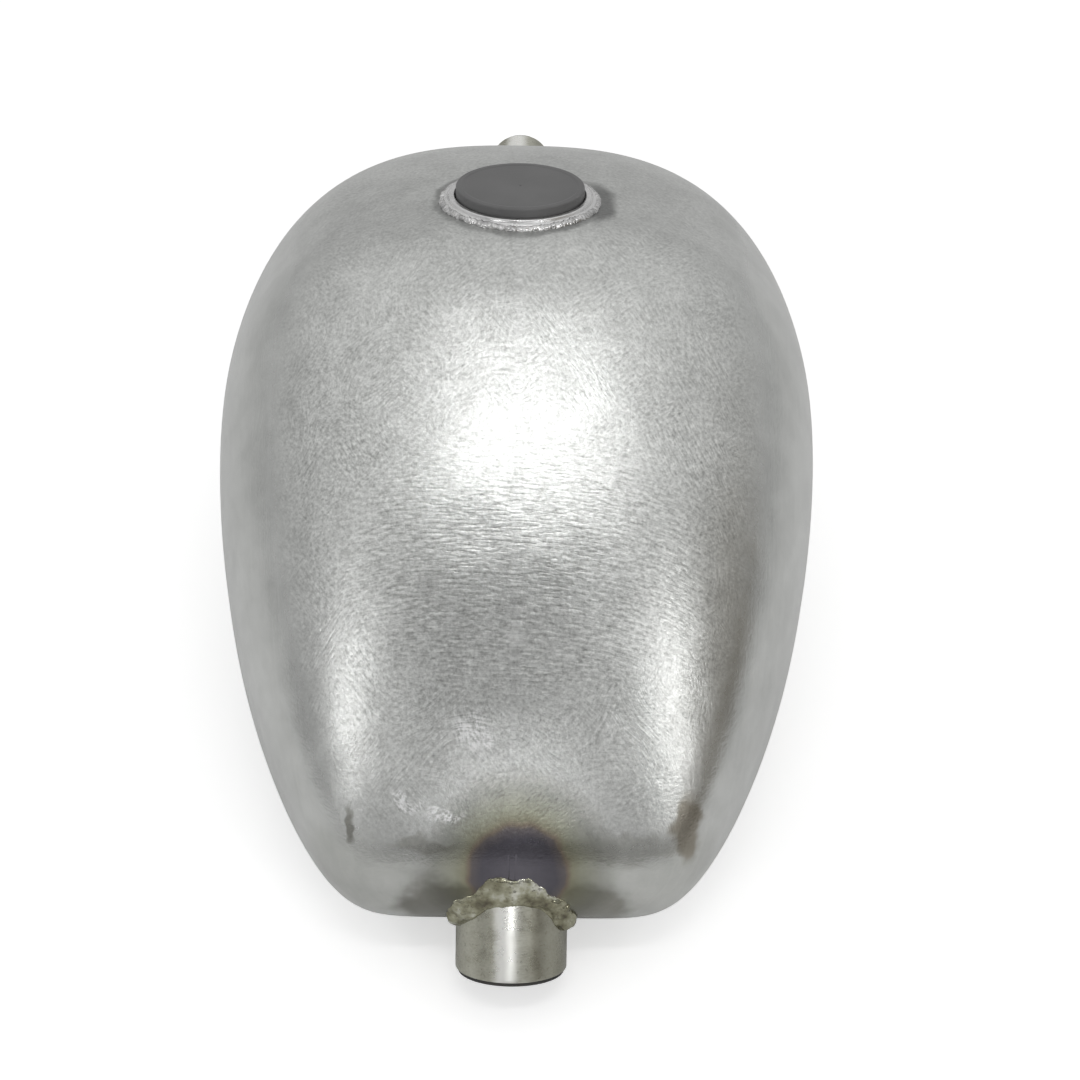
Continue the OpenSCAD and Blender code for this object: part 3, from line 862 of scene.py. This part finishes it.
def swirls(g, uv, cells, move):
    """Arcs of fine strokes round scattered centres, as an orbital sander leaves."""
    moved = g.mapped(uv, move=move)
    warp = g.noise(moved, 30.0, 1.0, 0.5, "Color")
    bent = g.vector("ADD", moved, g.vector("MULTIPLY", warp, (0.02, 0.02, 0)))
    cell = g.node("TexVoronoi", {"Vector": bent, "Scale": cells}, voronoi_dimensions="2D")
    offset = g.vector("SUBTRACT", bent, cell.outputs["Position"])
    angle = g.math("ARCTAN2", g.part(offset, "Y"), g.part(offset, "X"))
    arc = g.node("CombineXYZ", {"X": g.times(g.length(offset), 1150.0),
                                "Y": g.times(angle, 4.2),
                                "Z": g.times(cell.outputs["Color"], 40.0)})
    return g.noise(arc.outputs[0], 1.0, detail=2.0, roughness=0.6)


def sanding(g, place, uv, sanded):
    """The sanding marks: patches of straight strokes and of arcs, and faint drawn lines on the flanks."""
    patch = g.spread(g.noise(place, 26.0, 2.0), 0.42, 0.58)
    second_patch = g.spread(g.noise(g.mapped(place, move=(3, 1, 2)), 34.0, 2.0), 0.45, 0.6)
    arcs = g.plus(g.times(swirls(g, uv, 21.0, (0, 0, 0)), 0.5),
                  g.times(swirls(g, uv, 33.0, (0.37, 0.11, 0)), 0.5))
    first = strokes(g, uv, math.radians(35), 950.0, 330.0)
    second = strokes(g, uv, math.radians(-50), 1000.0, 360.0)
    marks = g.mix(patch, arcs, g.mix(second_patch, first, second))
    crosswise = strokes(g, uv, math.radians(86), 900.0, 210.0)
    above_tail = g.near(place, (0.004, -0.118, 0.14), (0.055, 0.036, 0.05), 1.5)
    marks = g.mix(above_tail, marks, crosswise)
    drawn = strokes(g, uv, math.radians(3), 500.0, 30.0)
    return g.mix(sanded, g.math("MULTIPLY_ADD", drawn, 0.25, 0.375), marks)


def steel_tone(g, place, upward, sanded, marks, grain, fleck):
    """Uneven grey: strokes and grain, stronger on the crown and to the rear, then clouds and flecks."""
    speckle = g.times(g.around_zero(grain), g.spread(sanded, 0.0, 1.0, 0.10, 0.50))
    tone = g.math("MULTIPLY_ADD", g.around_zero(marks), 0.62, speckle)
    tone = g.times(tone, g.spread(upward, 0.80, 0.95, 0.45, 1.15))
    tone = g.times(tone, g.spread(g.part(place, "Y"), 0.02, -0.09, 0.65, 1.25))
    cloud = g.noise(place, 14.0, 3.0, 0.5)
    tone = g.math("MULTIPLY_ADD", g.around_zero(cloud), 0.20, tone)
    tone = g.math("MULTIPLY_ADD", g.around_zero(fleck), 0.22, tone)
    return g.ramp(g.plus(tone, 0.5), [
        (0.2, (0.296, 0.300, 0.291, 1)), (0.5, (0.600, 0.608, 0.592, 1)), (0.8, (0.905, 0.915, 0.895, 1))])


# Distance from the heat's centre, as a share of twice its size, and the tint of the steel there
HEAT_TINTS = (
    (0.0, (0.25, 0.235, 0.275, 1)), (0.36, (0.20, 0.188, 0.225, 1)), (0.45, (0.27, 0.24, 0.25, 1)),
    (0.485, (0.40, 0.33, 0.27, 1)), (0.53, (0.52, 0.50, 0.38, 1)), (0.62, (0.60, 0.60, 0.50, 1)),
    (0.80, (0.66, 0.66, 0.63, 1)), (1.0, (1, 1, 1, 1)))

# Centre, half size, tint and strength of each dark spot along the tail's lower edge: burnt marks, soot, and
# painted shade
SOOT_AND_SHADE = (
    ((0.0662, -0.182, 0.061), (0.0040, 0.012, 0.0082), (0.48, 0.43, 0.36, 1), 0.85),
    ((-0.0597, -0.1835, 0.0635), (0.0013, 0.006, 0.0036), (0.42, 0.41, 0.38, 1), 0.9),
    ((-0.034, -0.190, 0.0605), (0.008, 0.008, 0.0018), (0.66, 0.65, 0.62, 1), 0.7),
    ((0.042, -0.190, 0.058), (0.022, 0.010, 0.0035), (0.74, 0.73, 0.70, 1), 0.5),
    # Painted shade over the lower tail wall, on both sides.
    ((0.048, -0.190, 0.043), (0.028, 0.014, 0.013), (0.82, 0.82, 0.80, 1), 0.7),
    ((-0.050, -0.190, 0.043), (0.028, 0.014, 0.013), (0.80, 0.80, 0.78, 1), 0.7),
    # Soot with painted shadow beside the rear weld's lumps.
    ((-0.027, -0.197, 0.030), (0.011, 0.014, 0.0115), (0.38, 0.37, 0.34, 1), 0.9),
    ((0.031, -0.197, 0.030), (0.0095, 0.014, 0.0105), (0.44, 0.43, 0.39, 1), 0.85))

# Centre and half size of each place where the strokes are rubbed bright
RUBBED = (
    ((-0.015, -0.165, 0.095), (0.0035, 0.006, 0.0045)),
    ((-0.040, -0.181, 0.073), (0.0035, 0.006, 0.0012)),
    ((-0.027, -0.185, 0.069), (0.0045, 0.006, 0.0013)))


def heat_marks(g, place, shaken, wobble, marks, color):
    """The blue-violet heat tint over the rear tube with its straw halo, burnt spots, soot and painted shade
    along the tail's lower edge, and rubbed places.
    """
    offset = g.vector("SUBTRACT", shaken, (0.0025, -0.196, 0.049))
    heat = g.length(g.vector("DIVIDE", offset, (0.0195, 0.03, 0.0205)))
    tint = g.ramp(g.times(heat, 0.5), HEAT_TINTS)
    color = g.tinted(g.spread(g.part(place, "Y"), -0.15, -0.17), color, tint)
    torn = g.shaken(place, wobble, 0.014)
    # Burnt spots, soot, and painted shade and shadow along the tail's lower edge.
    for centre, size, shade, strength in SOOT_AND_SHADE:
        color = g.tinted(g.times(g.near(torn, centre, size, 1.9), strength), color, shade)
    bright = g.spread(marks, 0.40, 0.62, 0.0, 0.9)
    for centre, size in RUBBED:
        color = g.blend(g.times(g.near(torn, centre, size, 2.2), bright), color, grey(0.99))
    return color


def neck_darkening(g, place, shaken, fleck, color):
    """Painted shade in the groove round the neck, and a darker smudge on its right."""
    from_neck = g.vector("SUBTRACT", shaken, tuple(NECK.origin))
    reach = g.length(g.vector("MULTIPLY", from_neck, (1, 1, 0)))
    sideways = g.math("DIVIDE", g.part(from_neck, "X"), reach)
    # Painted shade in the groove beside the neck's bead.
    groove = g.times(g.spread(reach, 0.0365, 0.0335), g.spread(fleck, 0.30, 0.60, 0.35, 0.75))
    # A darker smudge on the neck's right.
    smudge = g.times(g.spread(reach, 0.0405, 0.0360), g.spread(sideways, 0.74, 0.93, 0.0, 0.95))
    neck_dark = g.math("MAXIMUM", groove, smudge)
    high = g.spread(g.part(place, "Z"), 0.175, 0.185)
    return g.tinted(g.times(neck_dark, high), color, grey(0.34))


def steel_body():
    """Bare sheet steel, sanded by hand on the crown and the top of the tail, smoother on the flanks."""
    material, g = new_material("brushed_steel")
    place = g.place()
    uv = g.node("UVMap", uv_map="Brush").outputs[0]
    normal = g.node("NewGeometry").outputs["Normal"]
    endward = g.times(g.math("ABSOLUTE", g.part(normal, "Y")), 0.35)
    upward = g.plus(g.part(normal, "Z"), endward)
    ragged = g.math("MULTIPLY_ADD", g.noise(place, 120.0, 3.0, 0.7), 0.12, -0.06)
    sanded = g.spread(g.plus(upward, ragged), 0.775, 0.835)
    marks = sanding(g, place, uv, sanded)
    grain = g.noise(place, 760.0, 2.0, 0.7)
    fleck = g.noise(g.mapped(place, move=(5, 2, 0)), 75.0, 3.0, 0.6)
    color = steel_tone(g, place, upward, sanded, marks, grain, fleck)

    # The centre seam's ground-down weld reads as a faint pale line.
    off_middle = g.math("ABSOLUTE", g.part(place, "X"))
    color = g.blend(g.times(g.spread(off_middle, 0.0030, 0.0008), 0.10), color, grey(0.70))

    wobble = g.noise(place, 90.0, 2.0, 0.5, "Color")
    shaken = g.shaken(place, wobble, 0.005)
    color = heat_marks(g, place, shaken, wobble, marks, color)
    color = neck_darkening(g, place, shaken, fleck, color)

    rough = g.math("MULTIPLY_ADD", sanded, 0.07, 0.21)
    rough = g.math("MULTIPLY_ADD", marks, 0.10, rough)
    waves = g.noise(place, 20.0, 2.0, 0.5)
    relief = g.bump(waves, 0.0011)
    relief = g.bump(fleck, 0.00016, relief)
    relief = g.bump(g.plus(marks, g.times(grain, 0.5)), 0.00011, relief)
    g.coat(color, rough, {"Metallic": 1.0, "Normal": relief})
    return material


def weld_metal():
    """As-laid weld: smooth bright ripples, with straw, olive and brown oxide round the rear tube."""
    material, g = new_material("weld_metal")
    place = g.place()
    patches = g.noise(place, 120.0, 3.0, 0.6)
    specks = g.noise(place, 700.0, 2.0, 0.6)
    clean = g.ramp(patches, [(0.32, grey(0.42)), (0.5, grey(0.62, 0.004)), (0.68, grey(0.82, 0.004))])
    burnt = g.ramp(patches, [(0.30, (0.11, 0.10, 0.075, 1)), (0.42, (0.23, 0.22, 0.15, 1)),
                             (0.54, (0.38, 0.375, 0.28, 1)), (0.70, (0.70, 0.70, 0.63, 1))])
    color = g.blend(g.spread(g.part(place, "Y"), -0.15, -0.17), clean, burnt)
    color = g.blend(g.spread(specks, 0.58, 0.68, 0.0, 0.45), color, (0.16, 0.145, 0.115, 1))
    rough = g.spread(specks, 0.3, 0.7, 0.13, 0.28)
    relief = g.bump(g.noise(place, 330.0, 2.0, 0.5), 0.00016)
    g.coat(color, rough, {"Metallic": 1.0, "Normal": relief})
    return material


def turned_steel():
    """Machined steel: bright, with fine rings round the part's axis."""
    material, g = new_material("turned_steel")
    place = g.place()
    rings = g.noise(g.mapped(place, scale=(1.0, 1.0, 12.0)), 260.0, 3.0, 0.7)
    dull = g.noise(place, 60.0, 2.0)
    color = g.ramp(g.plus(g.times(rings, 0.6), g.times(dull, 0.4)),
                   [(0.3, grey(0.58)), (0.5, grey(0.76, 0.003)), (0.7, grey(0.88, 0.005))])
    relief = g.bump(rings, 0.00008)
    g.coat(color, g.spread(dull, 0.3, 0.7, 0.2, 0.34), {"Metallic": 1.0, "Normal": relief})
    return material


def tube_steel():
    """Mill-finish tube: warm and slightly olive, scuffed, with painted shade on its sides, more on its
    right, and a painted highlight strip down its middle.
    """
    material, g = new_material("tube_steel")
    place = g.place()
    scuff = g.noise(place, 95.0, 4.0, 0.65)
    mill = g.noise(g.mapped(place, scale=(1.0, 8.0, 8.0)), 160.0, 2.0, 0.7)
    speck = g.noise(place, 520.0, 2.0, 0.6)
    color = g.ramp(g.plus(g.times(scuff, 0.6), g.times(mill, 0.4)), [
        (0.32, (0.36, 0.355, 0.29, 1)), (0.46, (0.53, 0.525, 0.45, 1)), (0.60, (0.66, 0.66, 0.58, 1))])
    color = g.blend(g.spread(speck, 0.62, 0.7, 0.0, 0.55), color, (0.26, 0.25, 0.20, 1))
    across = g.part(place, "X")
    # Painted shade: darker towards both sides of the tube.
    painted_side_shade = g.spread(g.math("ABSOLUTE", across), 0.003, 0.008, 0.0, 0.40)
    color = g.blend(painted_side_shade, color, (0.26, 0.255, 0.20, 1))
    # Painted shade: more of it on the tube's right side.
    color = g.blend(g.spread(across, 0.005, 0.013, 0.0, 0.40), color, (0.20, 0.195, 0.155, 1))
    # Painted highlight: a bright strip down the middle of the tube.
    ragged = g.plus(across, g.times(scuff, 0.004))
    painted_highlight_band = g.spread(g.math("ABSOLUTE", ragged), 0.0065, 0.0015)
    color = g.blend(g.times(painted_highlight_band, 0.95), color, (1.0, 1.0, 0.96, 1))
    relief = g.bump(scuff, 0.000012)
    relief = g.bump(mill, 0.000008, relief)
    to_rear = g.spread(g.part(place, "Y"), 0.0, -0.01)
    along_axis = g.node("Mix", {0: to_rear, 4: tuple(FRONT.direction), 5: tuple(REAR.direction)},
                        data_type="VECTOR").outputs[1]
    g.coat(color, g.spread(scuff, 0.35, 0.65, 0.26, 0.33), {
        "Metallic": 1.0, "Normal": relief, "Anisotropic": 0.4, "Anisotropic Rotation": 0.25,
        "Tangent": along_axis})
    return material


def black_cap():
    """Satin black moulding with a fine leathery grain, and paler edges that are a painted edge highlight.
    """
    material, g = new_material("black_cap")
    place = g.place()
    grain = g.noise(place, 1400.0, 2.0, 0.6)
    haze = g.noise(place, 45.0, 3.0, 0.5)
    pointy = g.node("NewGeometry").outputs["Pointiness"]
    color = g.ramp(haze, [(0.35, grey(0.110)), (0.65, grey(0.145))])
    # Painted highlight: paler where the edges are sharp.
    color = g.blend(g.spread(pointy, 0.52, 0.6, 0.0, 0.5), color, grey(0.16))
    g.coat(color, g.spread(haze, 0.3, 0.7, 0.42, 0.52), {"Normal": g.bump(grain, 0.00006)})
    return material


def rubber():
    """Matt black rubber with a dusty bloom."""
    material, g = new_material("rubber")
    place = g.place()
    dust = g.noise(place, 150.0, 4.0, 0.65)
    color = g.ramp(dust, [(0.35, grey(0.018)), (0.65, grey(0.05, 0.05))])
    relief = g.bump(g.noise(place, 900.0, 2.0), 0.00012)
    g.coat(color, g.spread(dust, 0.3, 0.7, 0.62, 0.85), {"Normal": relief})
    return material


def paint():
    """Gives each piece, and the CAD nodes that stay, the material of its slot."""
    made = {"brushed_steel": steel_body(), "weld_metal": weld_metal(), "turned_steel": turned_steel(),
            "tube_steel": tube_steel(), "black_cap": black_cap(), "rubber": rubber()}
    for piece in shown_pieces():
        piece.data.materials.clear()
        piece.data.materials.append(made[piece.get("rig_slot", "brushed_steel")])


# ---- Setting ----

def direction(azimuth, elevation):
    """A unit vector: azimuth from the tail's side towards the tank's right, in degrees."""
    a, e = math.radians(azimuth), math.radians(elevation)
    return Vector((math.sin(a) * math.cos(e), -math.cos(a) * math.cos(e), math.sin(e)))


LIT_PLACE = Vector((0, -40 * MM, 130 * MM))


def soft_light(name, azimuth, elevation, distance, width, height, power):
    """An oval light that points at the tank's middle from a direction."""
    data = bpy.data.lights.new(name, "AREA")
    data.shape = "ELLIPSE"
    data.size, data.size_y = width, height
    data.energy = power
    light = bpy.data.objects.new(name, data)
    towards = direction(azimuth, elevation)
    light.location = LIT_PLACE + towards * distance
    light.rotation_euler = towards.to_track_quat("Z", "Y").to_euler()
    bpy.context.scene.collection.objects.link(light)


# Azimuth, elevation, inner and outer radius in degrees, and shade of each darker part of the room
DARK_PLACES = (
    (6, 6, 12, 38, (0.58, 0.58, 0.58, 1)),
    (-5, 49, 7, 18, (0.10, 0.10, 0.10, 1)),
    (64, 12, 12, 32, (0.42, 0.39, 0.34, 1)),
    (-62, 13, 8, 24, (0.76, 0.76, 0.76, 1)),
)


def build_world():
    """A pale room, brighter above, with darker places for the skin to mirror. The camera sees it white."""
    world = bpy.data.worlds.new("room")
    world.use_nodes = True
    bpy.context.scene.world = world
    g = Graph(world.node_tree)
    way = g.node("TexCoord").outputs["Generated"]
    level = g.ramp(g.math("MULTIPLY_ADD", g.part(way, "Z"), 0.5, 0.5), [
        (0.0, grey(0.50)), (0.49, grey(0.50)), (0.60, grey(0.54)), (0.75, grey(0.62)), (0.92, grey(0.74)),
        (1.0, grey(0.78))])
    for azimuth, elevation, inner, outer, shade in DARK_PLACES:
        facing = g.vector("DOT_PRODUCT", way, tuple(direction(azimuth, elevation)), "Value")
        share = g.spread(facing, math.cos(math.radians(outer)), math.cos(math.radians(inner)))
        level = g.tinted(share, level, shade)
    seen = g.node("LightPath").outputs["Is Camera Ray"]
    level = g.blend(seen, level, grey(1.0))
    g.tree.links.new(level, g.tree.nodes["Background"].inputs["Color"])


def build_floor():
    """A pale, slightly tilted floor just under the rear tube's bush and the weld along the nose's foot."""
    half, foot_y, foot_z, gap = 4.0, 139 * MM, -0.9 * MM, 0.4 * MM
    slope = (foot_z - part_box("rear_bush")[0].z) / (340 * MM)
    points = [(sx * half, sy * half, foot_z - gap + slope * (sy * half - foot_y))
              for sx, sy in ((-1, -1), (1, -1), (1, 1), (-1, 1))]
    mesh = bpy.data.meshes.new("floor")
    mesh.from_pydata(points, [], [(0, 1, 2, 3)])
    floor = bpy.data.objects.new("floor", mesh)
    bpy.context.scene.collection.objects.link(floor)
    material, g = new_material("pale_floor")
    seen = g.node("LightPath").outputs["Is Camera Ray"]
    color = g.blend(seen, grey(0.85), grey(0.90))
    g.coat(color, 0.9, {"Specular IOR Level": 0.0, "Emission Color": grey(1.0),
                        "Emission Strength": g.times(seen, 0.45)})
    mesh.materials.append(material)


# The photograph's camera, as fitted to the tank's outline, the neck's rim and the rear tube
CAMERA_LENS = 66.56
CAMERA_PLACE = Vector((0, -637.6 * MM, 667.1 * MM))
CAMERA_FORWARD = Vector((0.01295, 0.70839, -0.70570)).normalized()
CAMERA_RIGHT = Vector((0.99982, 0.00042, 0.01600)).normalized()


def build_camera():
    data = bpy.data.cameras.new("camera")
    data.lens = CAMERA_LENS
    data.sensor_width = 36
    camera = bpy.data.objects.new("camera", data)
    up = CAMERA_RIGHT.cross(CAMERA_FORWARD)
    turn = Matrix((CAMERA_RIGHT, up, -CAMERA_FORWARD)).transposed().to_4x4()
    camera.matrix_world = Matrix.Translation(CAMERA_PLACE) @ turn
    bpy.context.scene.collection.objects.link(camera)
    bpy.context.scene.camera = camera


def build_setting():
    build_world()
    build_floor()
    build_camera()
    soft_light("overhead", 4, 66, 1.3, 0.62, 0.09, 1.7)
    soft_light("window_left", -39, 23.5, 1.5, 0.09, 0.62, 1.05)
    soft_light("window_right", 37, 24, 1.5, 0.09, 0.74, 1.65)
    soft_light("gap_behind", 0, 18, 1.5, 0.20, 0.12, 0.56)
    bpy.context.scene.view_settings.view_transform = "Standard"


# ---- Build ----

skin = Surface(*build_halves())
build_seam()
build_tunnel(skin)
build_filler()
build_mounts(skin)
build_outlet()
build_beads(skin)
paint()
build_setting()
